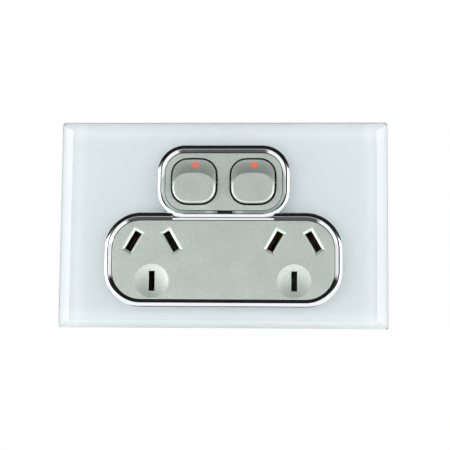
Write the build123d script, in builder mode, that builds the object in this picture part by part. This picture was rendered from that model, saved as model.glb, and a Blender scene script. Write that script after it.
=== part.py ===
from build123d import *
import math
import os

os.makedirs("parts", exist_ok=True)

# Frame: X right, Z up, the front faces -Y and the wall plane is y = 0.
# A height h is the distance in front of the wall, so y = -h and the mechanism has h < 0.
# All sizes in mm. The scale comes from the standard spacing of the pin slots.

# Fascia
PLATE_W = 118.0
PLATE_H = 74.5
PLATE_R = 1.2
BEVEL_SIDE = 4.0  # bevel width left and right
BEVEL_END = 2.6  # bevel width at top and bottom
BEVEL_DROP = 1.5
GLASS_T = 4.3
CARRIER_INSET = 0.6
CARRIER_WALL = 1.6
PANEL_T = 1.2
PANEL_GAP = 0.3

# Windows inside the chrome trim, placed around the pin slots and rockers, and the trim's section
UPPER_R = 7.3
UPPER_EDGE_X = 2.15  # land left beside the rocker apertures
UPPER_EDGE_Z = 2.0
LOWER_R = 10.6
LOWER_EDGE_X = 14.6  # from a socket's centre to the window's side
LOWER_EDGE_TOP = 7.74  # from the live slots' centres to the window's top
LOWER_EDGE_BOTTOM = 0.69  # land left below the dishes
CROSSBAR = 3.25
RING_W = 2.65
NECK_W = 1.7
BEAD_RISE = 0.9
CREST = 1.05  # from the window to the top of the bead
CREST_R = 0.15
BAR_STEP = 3.05  # from the upper window's side to where the lower bead ends
BAR_DROP = 0.25  # how far the crossbar slopes down to the lower window
TRIM_GAP = 0.15  # round the trim's neck
LAND_GAP = 0.22  # between the trim and the silver lands

# Mounting plate: two slotted holes at the standard 84 mm
MOUNT_GAP = 1.8  # room between the plate and the tray's walls
MOUNT_T = 2.5
MOUNT_R = 3.0
FIX_X = 42.0
FIX_SLOT_R = 2.1
FIX_SLOT_L = 6.0
HOOK_EDGE = 3.5
HOOK_Z = 18.0
HOOK_W = 6.0
HOOK_T = 1.4
HOOK_BARB = 0.7

# Front moulding and its pin slots
FLANGE_SIDE = 0.4  # how far the flange stands out beside the housing
FLANGE_LAP = 2.5  # and above and below it
FLANGE_T = 1.5
FACE_T = 3.0
LAND_WALL = 2.0
LAND_EDGE = 0.2
SOCKET_X = 25.5
PIN_Z = -10.2
PIN_R = 7.92  # live pins: standard radius and angle
PIN_ANGLE = 60.0
PIN_TILT = 30.0
EARTH_R = 10.31  # earth pin: standard radius
SLOT_W = 2.5
SLOT_L = 7.55
EARTH_SLOT_W = 2.15
EARTH_SLOT_L = 7.15
FUNNEL = 0.9  # width of the bevel round the live slots
FUNNEL_DEPTH = 0.35
DISH_R = 6.1
DISH_DEPTH = 0.65
GUIDE_WALL = 1.2

# Rockers
ROCKER_X = 10.6
APERTURE_W = 17.0
APERTURE_H = 17.3
APERTURE_R = 6.0
APERTURE_BOW = 0.5
ROCKER_GAP = 0.7
ROCKER_GAP_Z = 0.65
ROCKER_TRAVEL = 14.0
PIVOT_DEPTH = 2.4
TRUNNION_R = 1.4
TRUNNION_L = 1.8
RUNNING = 0.05
PAD_W = 14.4
PAD_H = 10.7
PAD_R = 4.6
PAD_BOW = 1.0
PAD_RISE = 2.4
PAD_INSET = 0.25  # from the rocker's lower edge to the pad
PAD_EDGE = 0.45
PAD_DRAFT = 42.0  # slope at the pad's rim, where the flare to the shelf begins
SHELF_R = 8.0  # hollow of that flare
FLARE_STEPS = 6
MARK_W = 2.6
MARK_H = 2.0
MARK_R = 0.6
MARK_T = 0.6
MARK_X = 0.3
MARK_Z = 6.0
SLEEVE_R = 2.6
SLEEVE_END = 8.3
BORE_R = 1.8
BORE_START = 3.0
SPRING_L = 3.4
SPRING_WIRE = 0.2
PLUNGER_R = 1.7
TIP_GAP = 0.15

# Switch levers and contacts
LEVER_H = -5.2
LEVER_W = 6.0
LEVER_T = 1.0
LEVER_UP = 8.8
LEVER_DOWN = 6.0
LEVER_BEAD_R = 1.8
TIP_R = 1.5
TIP_T = 0.8
TIP_ARM = 7.2
CONTACT_GAP = 0.05

# Strips: neutral and earth on level one, actives on level two
STRIP_T = 0.8
STRIP_W = 4.0
LEVEL_ONE = -7.2
LEVEL_TWO = -9.3
LEAF_T = 0.6
LEAF_L = 5.6
LEAF_GAP = 1.9
LEAF_TOP = 1.0
PIN_HOLE_L = 6.6
CLIP_EDGE = 0.5
RUN_STEP = 1.0  # from a socket's centre to its active strip

# Rear housing and terminals
HOUSE_EDGE = 0.35  # room between the contacts and the housing's walls
HOUSE_R = 3.0
HOUSE_WALL = 1.4
HOUSE_BACK_T = 2.0
PANEL_RECESS = 0.5
HOUSE_FLANGE_T = 1.2
BAY_PITCH = 7.5
BAY_RIB = 1.0
BAY_FLOOR_T = 1.6
BAY_WALL = 1.5
BAY_TOP = -13.5
BARREL_W = 6.3
BARREL_L = 11.4
BARREL_T = 6.4
WIRE_R = 2.1
WIRE_DEPTH = 2.9  # axis of the wire bore behind the barrel's front face
CLAMP_R = 1.7
CLAMP_HEAD_R = 2.5
CLAMP_HEAD_T = 1.2
CLAMP_PITCH = 5.6
SCREW_R = 1.4
SCREW_HEAD_R = 2.7
SCREW_HEAD_T = 1.6
BOSS_R = 2.8
BOSS_END = -4.0

# Heights that follow from the sizes above
FLANGE_TOP = MOUNT_T + FLANGE_T
PANEL_BACK = FLANGE_TOP + PANEL_GAP
GLASS_BACK = PANEL_BACK + PANEL_T
FRONT = GLASS_BACK + GLASS_T
FACE = FRONT
FACE_BACK = FACE - FACE_T
PIVOT_H = FACE - PIVOT_DEPTH
PAD_TOP = FACE + PAD_RISE
BAY_FLOOR = LEVEL_TWO - 0.3
BARREL_FRONT = BAY_FLOOR - BAY_FLOOR_T
BARREL_BACK = BARREL_FRONT - BARREL_T
HOUSE_BACK = BARREL_BACK - 1.9
HOUSE_FLOOR = HOUSE_BACK + HOUSE_BACK_T
BAY_HALF = 2 * BAY_PITCH + 0.2
LIVE_X = PIN_R * math.sin(math.radians(PIN_ANGLE))
LIVE_Z = PIN_Z + PIN_R * math.cos(math.radians(PIN_ANGLE))
EARTH_Z = PIN_Z - EARTH_R
LOWER_TOP = LIVE_Z + LOWER_EDGE_TOP
LOWER_BOTTOM = EARTH_Z - DISH_R - LOWER_EDGE_BOTTOM
LOWER_W = 2 * (SOCKET_X + LOWER_EDGE_X)
LOWER_H = LOWER_TOP - LOWER_BOTTOM
LOWER_Z = (LOWER_TOP + LOWER_BOTTOM) / 2
UPPER_W = 2 * (ROCKER_X + APERTURE_W / 2 + UPPER_EDGE_X)
UPPER_H = APERTURE_H + 2 * UPPER_EDGE_Z
UPPER_Z = LOWER_TOP + CROSSBAR + UPPER_H / 2
CLIP_W = LEAF_GAP + 2 * LEAF_T + 2 * CLIP_EDGE
CLIP_L = PIN_HOLE_L + 2 * CLIP_EDGE
TILT = math.radians(PIN_TILT)
CLIP_REACH = CLIP_L / 2 * math.sin(TILT) + CLIP_W / 2 * math.cos(TILT)
HALF_TURN = math.radians(ROCKER_TRAVEL / 2)
TIP_Z = UPPER_Z + TIP_ARM * math.cos(HALF_TURN)
RUN_X = SOCKET_X + RUN_STEP
# the housing is just large enough for the outermost clips and strips
HOUSE_W = 2 * (SOCKET_X + LIVE_X + CLIP_REACH + 0.15 + HOUSE_WALL)
HOUSE_H = 2 * (max(TIP_Z + 2.2, CLIP_L / 2 - EARTH_Z) + HOUSE_EDGE + HOUSE_WALL)
FLANGE_W = HOUSE_W + 2 * FLANGE_SIDE
FLANGE_H = HOUSE_H + 2 * FLANGE_LAP
MOUNT_W = PLATE_W - 2 * (CARRIER_INSET + CARRIER_WALL + MOUNT_GAP)
MOUNT_H = PLATE_H - 2 * (CARRIER_INSET + CARRIER_WALL + MOUNT_GAP)
HOOK_X = MOUNT_W / 2 - HOOK_EDGE
SCREW_X = HOUSE_W / 2 - HOUSE_WALL - BOSS_R - 0.4
SCREW_Z = HOUSE_H / 2 - HOUSE_WALL - BOSS_R - 0.4
NEUTRAL_Z = (LIVE_Z + EARTH_Z) / 2 + 0.6
ROCKER_W = APERTURE_W - 2 * ROCKER_GAP
ROCKER_H = APERTURE_H - 2 * ROCKER_GAP_Z
TURN_R = math.hypot(ROCKER_H / 2, PIVOT_DEPTH)
SIDES = (("left", -1), ("right", 1))
TERMINAL_X = {
    "earth": -1.5 * BAY_PITCH,
    "loop": -0.5 * BAY_PITCH,
    "active": 0.5 * BAY_PITCH,
    "neutral": 1.5 * BAY_PITCH,
}
BARREL_Z = BAY_TOP - 0.5 - BARREL_L / 2


def at(h):
    """Sketch plane parallel to the wall, h in front of it; sketch x is X and sketch y is Z."""
    return Plane.XZ.offset(h)


def windows(grow):
    """Both trim windows, grown outwards by the same distance all round."""
    for width, height, radius, z in (
        (UPPER_W, UPPER_H, UPPER_R, UPPER_Z),
        (LOWER_W, LOWER_H, LOWER_R, LOWER_Z),
    ):
        with Locations((0, z)):
            RectangleRounded(width + 2 * grow, height + 2 * grow, radius + grow)


def span(x0, x1, z0, z1):
    """Rectangle between two corners in the sketch that is open."""
    with Locations(((x0 + x1) / 2, (z0 + z1) / 2)):
        Rectangle(abs(x1 - x0), abs(z1 - z0))


def squircle(width, height, radius, bow):
    """Rounded rectangle with bowed sides, centred on the origin."""
    w = width / 2
    h = height / 2
    with BuildSketch() as shape:
        with BuildLine():
            ThreePointArc((-w + bow, -h + bow), (0, -h), (w - bow, -h + bow))
            ThreePointArc((w - bow, -h + bow), (w, 0), (w - bow, h - bow))
            ThreePointArc((w - bow, h - bow), (0, h), (-w + bow, h - bow))
            ThreePointArc((-w + bow, h - bow), (-w, 0), (-w + bow, -h + bow))
        make_face()
        fillet(shape.vertices(), radius)
    return shape.sketch


def save(builder, name):
    """Label a finished sub-part and write its STEP file."""
    builder.part.label = name
    export_step(builder.part, f"parts/{name}.step")


# (centre x, centre z, turn seen from the front, width, length) of each pin slot
PIN_SLOTS = []
for _, side in SIDES:
    PIN_SLOTS.append((side * SOCKET_X - LIVE_X, LIVE_Z, -PIN_TILT, SLOT_W, SLOT_L))
    PIN_SLOTS.append((side * SOCKET_X + LIVE_X, LIVE_Z, PIN_TILT, SLOT_W, SLOT_L))
    PIN_SLOTS.append((side * SOCKET_X, EARTH_Z, 0.0, EARTH_SLOT_W, EARTH_SLOT_L))


def slot_shapes(grow):
    """All six pin slots, grown outwards."""
    for x, z, turn, width, length in PIN_SLOTS:
        with Locations((x, z)):
            Rectangle(width + 2 * grow, length + 2 * grow, rotation=turn)


# Glass panel: flat front, bevel all round, window cut for the trim
with BuildPart() as glass_fascia:
    with BuildSketch(at(GLASS_BACK)):
        RectangleRounded(PLATE_W, PLATE_H, PLATE_R)
    extrude(amount=GLASS_T - BEVEL_DROP)
    with BuildSketch(at(FRONT - BEVEL_DROP)):
        RectangleRounded(PLATE_W, PLATE_H, PLATE_R)
    with BuildSketch(at(FRONT)):
        RectangleRounded(PLATE_W - 2 * BEVEL_SIDE, PLATE_H - 2 * BEVEL_END, PLATE_R / 2)
    loft()
    with BuildSketch(at(GLASS_BACK)):
        windows(NECK_W + TRIM_GAP)
    extrude(amount=GLASS_T, mode=Mode.SUBTRACT)
save(glass_fascia, "glass_fascia")

# White tray behind the glass; its hooks clip behind the mounting plate
with BuildPart() as fascia_carrier:
    carrier_w = PLATE_W - 2 * CARRIER_INSET
    carrier_h = PLATE_H - 2 * CARRIER_INSET
    with BuildSketch(at(0)):
        RectangleRounded(carrier_w, carrier_h, PLATE_R)
    extrude(amount=GLASS_BACK)
    with BuildSketch(at(0)):
        Rectangle(carrier_w - 2 * CARRIER_WALL, carrier_h - 2 * CARRIER_WALL)
    extrude(amount=PANEL_BACK, mode=Mode.SUBTRACT)
    with BuildSketch(at(PANEL_BACK)):
        windows(NECK_W + TRIM_GAP)
    extrude(amount=PANEL_T, mode=Mode.SUBTRACT)
    # ribs that hold the panel off the mounting plate
    with BuildSketch(at(MOUNT_T + 0.1)):
        for z in (-1, 1):
            for x in (FLANGE_W / 2 + 3.5, FLANGE_W / 2 + 10):
                with Locations((-x, z * (MOUNT_H / 2 - 1.2)), (x, z * (MOUNT_H / 2 - 1.2))):
                    Rectangle(1.2, 2.0)
    extrude(amount=PANEL_BACK - MOUNT_T - 0.1)
    # hooks: a shank through the plate and a barb behind its ledge
    with BuildSketch(at(0.5)):
        for sx in (-1, 1):
            for sz in (-1, 1):
                with Locations((sx * HOOK_X, sz * HOOK_Z)):
                    Rectangle(HOOK_T, HOOK_W)
    extrude(amount=PANEL_BACK - 0.5)
    with BuildSketch(at(0.5)):
        for sx in (-1, 1):
            for sz in (-1, 1):
                with Locations((sx * (HOOK_X + (HOOK_T + HOOK_BARB) / 2), sz * HOOK_Z)):
                    Rectangle(HOOK_BARB, HOOK_W)
    extrude(amount=HOOK_BARB)
    # lever notch under the bottom edge
    with BuildSketch(at(0)):
        with Locations((0, -carrier_h / 2 + CARRIER_WALL / 2)):
            Rectangle(8.0, CARRIER_WALL)
    extrude(amount=1.5, mode=Mode.SUBTRACT)
save(fascia_carrier, "fascia_carrier")


def trim_bead(width, height, radius, z):
    """Bead round one window, on the glass: straight and steep inside its crest, rounded outside."""
    w = width / 2
    h = height / 2
    with BuildPart() as bead:
        with BuildLine(at(FRONT)) as path:
            FilletPolyline(
                (w, z - h), (w, z + h), (-w, z + h), (-w, z - h), radius=radius, close=True
            )
        across = Plane(origin=(w, -FRONT, z), x_dir=(1, 0, 0), z_dir=(0, 0, -1))
        with BuildSketch(across) as section:
            with BuildLine():
                Line((0, 0), (RING_W, 0))
                EllipticalCenterArc((CREST, 0), RING_W - CREST, BEAD_RISE, 0, arc_size=90)
                Line((CREST, BEAD_RISE), (0, 0))
            make_face()
            fillet(section.vertices().sort_by(Axis.Y)[-1], CREST_R)
        sweep(path=path.wire())
    return bead.part


# Chrome trim: two necks through the glass; only the upper bead runs along the crossbar
with BuildPart() as chrome_trim:
    add(trim_bead(LOWER_W, LOWER_H, LOWER_R, LOWER_Z))
    bar_end = UPPER_W / 2 - BAR_STEP
    with BuildSketch(at(FRONT)):
        span(-bar_end, bar_end, LOWER_TOP, LOWER_TOP + RING_W)
    extrude(amount=BEAD_RISE, mode=Mode.SUBTRACT)
    add(trim_bead(UPPER_W, UPPER_H, UPPER_R, UPPER_Z))
    with BuildSketch(at(FLANGE_TOP + 0.1)):
        windows(NECK_W)
    extrude(amount=FRONT - FLANGE_TOP - 0.1)
    with BuildSketch(at(FLANGE_TOP)):
        windows(0)
    extrude(amount=FRONT - FLANGE_TOP, mode=Mode.SUBTRACT)
    with BuildSketch(Plane.YZ):
        with BuildLine():
            Polyline(
                (-FRONT, LOWER_TOP),
                (-FRONT, LOWER_TOP + CROSSBAR - RING_W),
                (BAR_DROP - FRONT, LOWER_TOP),
                close=True,
            )
        make_face()
    extrude(amount=bar_end, both=True, mode=Mode.SUBTRACT)
save(chrome_trim, "chrome_trim")

# Silver front moulding: flange, two lands, pin slots, apertures, bearings and screw bosses
with BuildPart() as socket_front:
    with BuildSketch(at(MOUNT_T)):
        windows(-LAND_GAP)
    extrude(amount=FACE - MOUNT_T)
    fillet(socket_front.edges().group_by(Axis.Y)[0], LAND_EDGE)
    with BuildSketch(at(MOUNT_T)):
        RectangleRounded(FLANGE_W, FLANGE_H, 4.0)
    extrude(amount=FLANGE_T)
    # hollow behind the socket land
    with BuildSketch(at(MOUNT_T)):
        with Locations((0, LOWER_Z)):
            RectangleRounded(
                LOWER_W - 2 * (LAND_GAP + LAND_WALL),
                LOWER_H - 2 * (LAND_GAP + LAND_WALL),
                LOWER_R - LAND_GAP - LAND_WALL,
            )
    extrude(amount=FACE_BACK - MOUNT_T, mode=Mode.SUBTRACT)
    # guides behind the slots
    with BuildSketch(at(MOUNT_T)):
        slot_shapes(GUIDE_WALL)
    extrude(amount=FACE_BACK - MOUNT_T)
    # bosses for the housing screws
    with BuildSketch(at(BOSS_END)):
        for sx in (-1, 1):
            for sz in (-1, 1):
                with Locations((sx * SCREW_X, sz * SCREW_Z)):
                    Circle(BOSS_R)
    extrude(amount=MOUNT_T + FLANGE_T - BOSS_END)
    with BuildSketch(at(FLANGE_TOP)):
        for sx in (-1, 1):
            with Locations((sx * SCREW_X, -SCREW_Z)):
                Circle(BOSS_R)
    extrude(amount=FACE_BACK - FLANGE_TOP)
    with BuildSketch(at(BOSS_END)):
        for sx in (-1, 1):
            for sz in (-1, 1):
                with Locations((sx * SCREW_X, sz * SCREW_Z)):
                    Circle(SCREW_R + RUNNING)
    extrude(amount=5.0, mode=Mode.SUBTRACT)
    # shallow dishes around the earth slots
    dish_ball = (DISH_R**2 + DISH_DEPTH**2) / (2 * DISH_DEPTH)
    for _, side in SIDES:
        with Locations((side * SOCKET_X, -(FACE + dish_ball - DISH_DEPTH), EARTH_Z)):
            Sphere(dish_ball, mode=Mode.SUBTRACT)
    # slots; the live ones have a bevelled mouth
    with BuildSketch(at(MOUNT_T)):
        slot_shapes(0)
    extrude(amount=FACE, mode=Mode.SUBTRACT)
    for x, z, turn, width, length in PIN_SLOTS:
        if not turn:
            continue
        with BuildSketch(at(FACE)):
            with Locations((x, z)):
                Rectangle(width + 2 * FUNNEL, length + 2 * FUNNEL, rotation=turn)
        with BuildSketch(at(FACE - FUNNEL_DEPTH)):
            with Locations((x, z)):
                Rectangle(width, length, rotation=turn)
        loft(mode=Mode.SUBTRACT)
    # rocker apertures and the bearings of their trunnions
    with BuildSketch(at(MOUNT_T)):
        with Locations((-ROCKER_X, UPPER_Z), (ROCKER_X, UPPER_Z)):
            add(squircle(APERTURE_W, APERTURE_H, APERTURE_R, APERTURE_BOW))
    extrude(amount=FACE, mode=Mode.SUBTRACT)
    for _, side in SIDES:
        with Locations(Location((side * ROCKER_X, -PIVOT_H, UPPER_Z), (0, 90, 0))):
            Cylinder(
                TRUNNION_R + RUNNING,
                ROCKER_W + 2 * TRUNNION_L + 0.2,
                mode=Mode.SUBTRACT,
            )
save(socket_front, "socket_front")

# Mounting plate: fixing slots, opening for the mechanism, ledges for the hooks
with BuildPart() as mounting_plate:
    with BuildSketch(at(0)):
        RectangleRounded(MOUNT_W, MOUNT_H, MOUNT_R)
    extrude(amount=MOUNT_T)
    with BuildSketch(at(0)):
        RectangleRounded(HOUSE_W + 0.8, HOUSE_H + 0.8, HOUSE_R + 0.4)
    extrude(amount=MOUNT_T, mode=Mode.SUBTRACT)
    with BuildSketch(at(0)):
        RectangleRounded(HOUSE_W + 0.8, FLANGE_H + 0.6, HOUSE_R + 0.3)
    extrude(amount=HOUSE_FLANGE_T + 0.05, mode=Mode.SUBTRACT)
    with BuildSketch(at(0)):
        with Locations((-FIX_X, 0), (FIX_X, 0)):
            SlotOverall(FIX_SLOT_L, 2 * FIX_SLOT_R)
    extrude(amount=MOUNT_T, mode=Mode.SUBTRACT)
    with BuildSketch(at(0)):
        for sx in (-1, 1):
            for sz in (-1, 1):
                with Locations((sx * HOOK_X, sz * HOOK_Z)):
                    Rectangle(HOOK_T + 0.4, HOOK_W + 0.6)
    extrude(amount=MOUNT_T, mode=Mode.SUBTRACT)
    with BuildSketch(at(0)):
        for sx in (-1, 1):
            for sz in (-1, 1):
                with Locations((sx * (HOOK_X + HOOK_BARB / 2), sz * HOOK_Z)):
                    Rectangle(HOOK_T + HOOK_BARB + 0.4, HOOK_W + 0.6)
    extrude(amount=0.5 + HOOK_BARB + 0.1, mode=Mode.SUBTRACT)
save(mounting_plate, "mounting_plate")

# Rear housing: open-fronted box with a flange behind the mounting plate and four terminal bays
POSTS = [
    (-(ROCKER_X + RUN_X) / 2, TIP_Z, LEVEL_TWO),
    ((ROCKER_X + RUN_X) / 2, TIP_Z, LEVEL_TWO),
    (-RUN_X, 10.0, LEVEL_TWO),
    (RUN_X, 10.0, LEVEL_TWO),
    (0.0, 7.5, LEVEL_TWO),
    (SOCKET_X - 1.5, NEUTRAL_Z, LEVEL_ONE),
    (-SOCKET_X + LIVE_X, NEUTRAL_Z, LEVEL_ONE),
    (-SOCKET_X + 5.0, EARTH_Z, LEVEL_ONE),
    (SOCKET_X - 5.0, EARTH_Z, LEVEL_ONE),
]
FEET = (
    (TERMINAL_X["active"], BAY_TOP - 3.3, LEVEL_TWO),
    (TERMINAL_X["neutral"], BAY_TOP - 3.3, LEVEL_ONE),
    (TERMINAL_X["earth"], EARTH_Z, LEVEL_ONE),
)
with BuildPart() as rear_housing:
    with BuildSketch(at(HOUSE_BACK)):
        RectangleRounded(HOUSE_W, HOUSE_H, HOUSE_R)
    extrude(amount=MOUNT_T - HOUSE_BACK)
    fillet(rear_housing.edges().group_by(Axis.Y)[-1], 1.2)
    with BuildSketch(at(0)):
        RectangleRounded(HOUSE_W, FLANGE_H, HOUSE_R)
    extrude(amount=HOUSE_FLANGE_T)
    with BuildSketch(at(HOUSE_FLOOR)):
        RectangleRounded(
            HOUSE_W - 2 * HOUSE_WALL, HOUSE_H - 2 * HOUSE_WALL, HOUSE_R - HOUSE_WALL
        )
    extrude(amount=MOUNT_T - HOUSE_FLOOR, mode=Mode.SUBTRACT)
    # blank recessed panel on the back
    with BuildSketch(at(HOUSE_BACK)):
        with Locations((0, HOUSE_H / 4)):
            RectangleRounded(HOUSE_W / 2, HOUSE_H / 4, 1.5)
    extrude(amount=PANEL_RECESS, mode=Mode.SUBTRACT)
    # terminal block, bays open to the back and below, barriers between them
    with BuildSketch(at(HOUSE_FLOOR - 0.5)):
        span(-BAY_HALF - BAY_WALL, BAY_HALF + BAY_WALL, -HOUSE_H / 2 + 0.5, BAY_TOP + BAY_WALL)
    extrude(amount=BAY_FLOOR - HOUSE_FLOOR + 0.5)
    with BuildSketch(at(HOUSE_BACK - 1)):
        span(-BAY_HALF, BAY_HALF, -HOUSE_H / 2 - 1, BAY_TOP)
    extrude(amount=BARREL_FRONT - HOUSE_BACK + 1, mode=Mode.SUBTRACT)
    with BuildSketch(at(HOUSE_BACK)):
        for x in (-BAY_PITCH, 0, BAY_PITCH):
            span(x - BAY_RIB / 2, x + BAY_RIB / 2, -HOUSE_H / 2 + 0.6, BAY_TOP + 0.5)
    extrude(amount=BARREL_FRONT - HOUSE_BACK + 0.3)
    # slits for the feet of the strips
    with BuildSketch(at(BARREL_FRONT - 0.1)):
        for x, z, _ in FEET:
            with Locations((x, z)):
                Rectangle(STRIP_W + 0.4, STRIP_T + 0.4)
    extrude(amount=BAY_FLOOR_T + 0.2, mode=Mode.SUBTRACT)
    # posts under the strips
    for x, z, top in POSTS:
        with BuildSketch(at(HOUSE_FLOOR - 0.2)):
            with Locations((x, z)):
                Rectangle(3.6, 3.0)
        extrude(amount=top - HOUSE_FLOOR + 0.2)
    # screw bosses
    with BuildSketch(at(HOUSE_FLOOR - 0.2)):
        for sx in (-1, 1):
            for sz in (-1, 1):
                with Locations((sx * SCREW_X, sz * SCREW_Z)):
                    Circle(BOSS_R + 0.6)
    extrude(amount=BOSS_END - HOUSE_FLOOR + 0.1)
    for radius, depth in ((SCREW_R + 0.2, 30.0), (SCREW_HEAD_R + 0.3, 2.0)):
        with BuildSketch(at(HOUSE_BACK)):
            for sx in (-1, 1):
                for sz in (-1, 1):
                    with Locations((sx * SCREW_X, sz * SCREW_Z)):
                        Circle(radius)
        extrude(amount=depth, mode=Mode.SUBTRACT)
save(rear_housing, "rear_housing")


def leaves(x, z, turn, base):
    """The two spring leaves of one contact clip, standing on its strip."""
    offset = (LEAF_GAP + LEAF_T) / 2
    angle = math.radians(turn)
    with BuildPart() as pair:
        with BuildSketch(at(base)):
            for s in (-1, 1):
                with Locations((x + s * offset * math.cos(angle), z + s * offset * math.sin(angle))):
                    Rectangle(LEAF_T, LEAF_L, rotation=turn)
        extrude(amount=LEAF_TOP - base)
    return pair.part


def pin_hole(x, z, turn, base):
    """What is cut from a strip between two leaves, so that a pin can pass through."""
    with BuildPart() as hole:
        with BuildSketch(at(base)):
            with Locations((x, z)):
                Rectangle(LEAF_GAP, PIN_HOLE_L, rotation=turn)
        extrude(amount=STRIP_T)
    return hole.part


def clip_pad(x, z, turn):
    """Base of one contact clip in the sketch that is open."""
    with Locations((x, z)):
        Rectangle(CLIP_W, CLIP_L, rotation=turn)


# Active contacts: each from its switch to its own socket
for name, side in SIDES:
    clip_x = side * SOCKET_X - LIVE_X
    with BuildPart() as active_contact:
        with BuildSketch(at(LEVEL_TWO)):
            span(side * (ROCKER_X - 2.5), side * (RUN_X + STRIP_W / 2), TIP_Z - 2.2, TIP_Z + 2.2)
            span(side * (RUN_X - STRIP_W / 2), side * (RUN_X + STRIP_W / 2), LIVE_Z + 1.6, TIP_Z)
            span(side * (RUN_X + STRIP_W / 2), clip_x, LIVE_Z + 1.6, LIVE_Z + 5.4)
            clip_pad(clip_x, LIVE_Z, -PIN_TILT)
        extrude(amount=STRIP_T)
        add(pin_hole(clip_x, LIVE_Z, -PIN_TILT, LEVEL_TWO), mode=Mode.SUBTRACT)
        add(leaves(clip_x, LIVE_Z, -PIN_TILT, LEVEL_TWO))
    save(active_contact, f"active_contact_{name}")

# Neutral strip
with BuildPart() as neutral_strip:
    with BuildSketch(at(LEVEL_ONE)):
        span(-SOCKET_X + LIVE_X - 2.0, SOCKET_X + LIVE_X + 2.0, NEUTRAL_Z - 1.75, NEUTRAL_Z + 1.75)
        foot_x = TERMINAL_X["neutral"]
        span(foot_x - STRIP_W / 2, foot_x + STRIP_W / 2, FEET[1][1] - STRIP_T / 2, NEUTRAL_Z)
        for _, side in SIDES:
            clip_x = side * SOCKET_X + LIVE_X
            clip_pad(clip_x, LIVE_Z, PIN_TILT)
            span(clip_x - 2.0, clip_x + 2.0, NEUTRAL_Z, LIVE_Z - 3.0)
    extrude(amount=STRIP_T)
    for _, side in SIDES:
        add(pin_hole(side * SOCKET_X + LIVE_X, LIVE_Z, PIN_TILT, LEVEL_ONE), mode=Mode.SUBTRACT)
        add(leaves(side * SOCKET_X + LIVE_X, LIVE_Z, PIN_TILT, LEVEL_ONE))
    with BuildSketch(at(BARREL_FRONT)):
        with Locations(FEET[1][:2]):
            Rectangle(STRIP_W, STRIP_T)
    extrude(amount=LEVEL_ONE - BARREL_FRONT)
save(neutral_strip, "neutral_strip")

# Earth strip
with BuildPart() as earth_strip:
    with BuildSketch(at(LEVEL_ONE)):
        span(-SOCKET_X, SOCKET_X, EARTH_Z - 2.2, EARTH_Z + 2.0)
        for _, side in SIDES:
            clip_pad(side * SOCKET_X, EARTH_Z, 0)
    extrude(amount=STRIP_T)
    for _, side in SIDES:
        add(pin_hole(side * SOCKET_X, EARTH_Z, 0, LEVEL_ONE), mode=Mode.SUBTRACT)
        add(leaves(side * SOCKET_X, EARTH_Z, 0, LEVEL_ONE))
    with BuildSketch(at(BARREL_FRONT)):
        with Locations(FEET[2][:2]):
            Rectangle(STRIP_W, STRIP_T)
    extrude(amount=LEVEL_ONE - BARREL_FRONT)
save(earth_strip, "earth_strip")

# Active feed: from its terminal to the two saddles that carry the levers
with BuildPart() as active_feed_strip:
    feed_x = TERMINAL_X["active"]
    saddle_top = LEVER_H - LEVER_T / 2 - 2.3 * math.tan(HALF_TURN) - 0.15
    with BuildSketch(at(LEVEL_TWO)):
        span(feed_x - STRIP_W / 2, feed_x + STRIP_W / 2, FEET[0][1] - STRIP_T / 2, 9.0)
        span(-ROCKER_X - 2.5, ROCKER_X + 2.5, 6.0, 9.0)
        for _, side in SIDES:
            span(side * ROCKER_X - 2.5, side * ROCKER_X + 2.5, 6.0, UPPER_Z + 2.2)
    extrude(amount=STRIP_T)
    with BuildSketch(at(LEVEL_TWO)):
        for _, side in SIDES:
            span(side * ROCKER_X - 2.5, side * ROCKER_X + 2.5, UPPER_Z - 2.2, UPPER_Z + 2.2)
    extrude(amount=saddle_top - LEVEL_TWO)
    for _, side in SIDES:
        with Locations(Location((side * ROCKER_X, -LEVER_H, UPPER_Z), (0, 90, 0))):
            Cylinder(LEVER_BEAD_R + RUNNING, 8.0, mode=Mode.SUBTRACT)
    with BuildSketch(at(BARREL_FRONT)):
        with Locations(FEET[0][:2]):
            Rectangle(STRIP_W, STRIP_T)
    extrude(amount=LEVEL_TWO - BARREL_FRONT)
save(active_feed_strip, "active_feed_strip")


# The flare round a pad: spread from the pad's rim and drop below its top, from the rim to the shelf
FLARE = []
for step in range(FLARE_STEPS + 1):
    slope = math.radians(PAD_DRAFT * (1 - step / FLARE_STEPS))
    FLARE.append(
        (
            SHELF_R * (math.sin(math.radians(PAD_DRAFT)) - math.sin(slope)),
            SHELF_R * (math.cos(slope) - math.cos(math.radians(PAD_DRAFT))),
        )
    )
SHELF_TOP = PAD_TOP - FLARE[-1][1]


def finger_pad(x, outline):
    """A rocker in front of its aperture: a pad, rounded along its rim, that flares into a hollow shelf."""
    middle = UPPER_Z - ROCKER_H / 2 + PAD_INSET + PAD_H / 2
    with BuildPart() as pad:
        for spread, drop in FLARE:
            with BuildSketch(at(PAD_TOP - drop)):
                with Locations((x, middle)):
                    add(squircle(PAD_W + 2 * spread, PAD_H + 2 * spread, PAD_R + spread, PAD_BOW))
        loft()
        fillet(pad.edges().group_by(Axis.Y)[0], PAD_EDGE)
        with BuildSketch(at(SHELF_TOP)):
            with Locations((x, UPPER_Z)):
                add(outline)
        extrude(amount=PAD_TOP - SHELF_TOP, mode=Mode.INTERSECT)
    return pad.part


def coil_spring(radius, height):
    """Coil of round wire along Z, from the origin."""
    with BuildPart() as coil:
        with BuildLine() as path:
            Helix(pitch=0.75, height=height, radius=radius)
        with BuildSketch(Plane(origin=path.line @ 0, z_dir=path.line % 0)):
            Circle(SPRING_WIRE)
        sweep(path=path.line, is_frenet=True)
    return coil.part


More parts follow.
